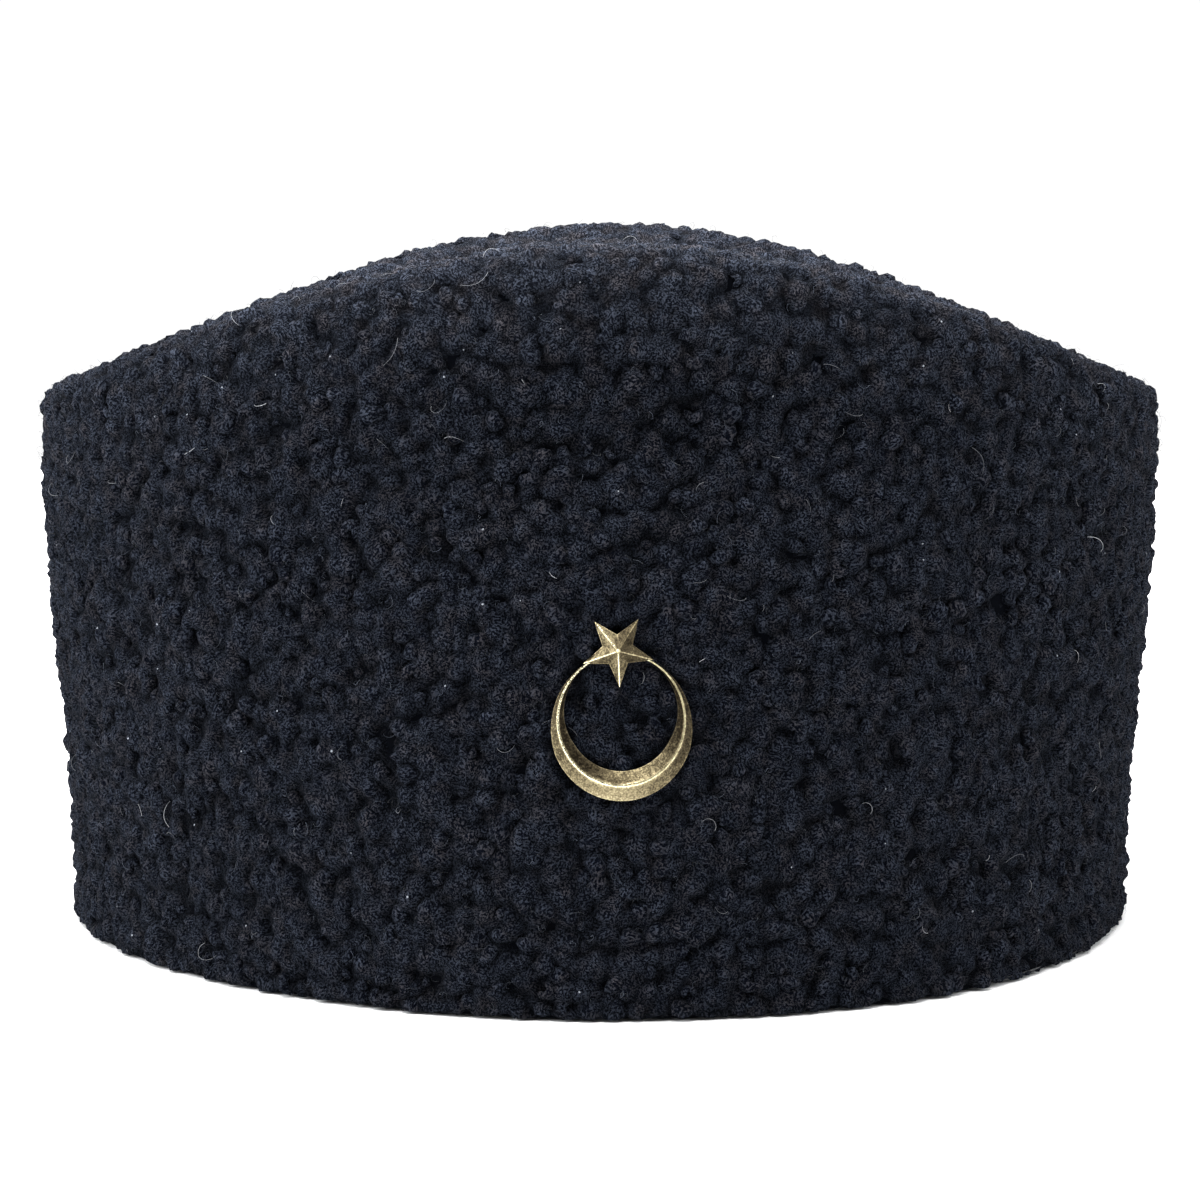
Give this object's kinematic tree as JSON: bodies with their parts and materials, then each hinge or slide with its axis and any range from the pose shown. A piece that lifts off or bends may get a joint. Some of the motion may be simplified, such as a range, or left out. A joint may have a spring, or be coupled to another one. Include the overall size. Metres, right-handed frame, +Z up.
{
  "type": "kalpak cap with crescent and star badge",
  "caption": "Tall oval cap of black curled fleece with an arched front and back, a vaulted crown, an open hollow for the head and a small brass crescent and star on the front.",
  "frame": {"origin": "on the surface that the cap stands on, under the middle of the cap's box", "axes": "+X from side to side, towards the right hand of someone who looks at the badge; +Y to the back, so that the badge faces -Y; +Z up"},
  "size_m": [0.2192, 0.1959, 0.133],
  "materials": {
    "panel_fleece": "matt curled wool, navy black, curls 2 to 4 mm across on a cloth backing",
    "crown_fleece": "matt curled wool, navy black, curls 2 to 4 mm across on a cloth backing",
    "antique_brass": "aged cast brass, ridges worn bright",
    "staple_wire": "plain drawn wire"
  },
  "bodies": {
    "root": {"front_panel": "panel_fleece", "back_panel": "panel_fleece", "crown": "crown_fleece", "badge": "antique_brass", "badge_staple": "staple_wire"}
  },
  "joints": []
}
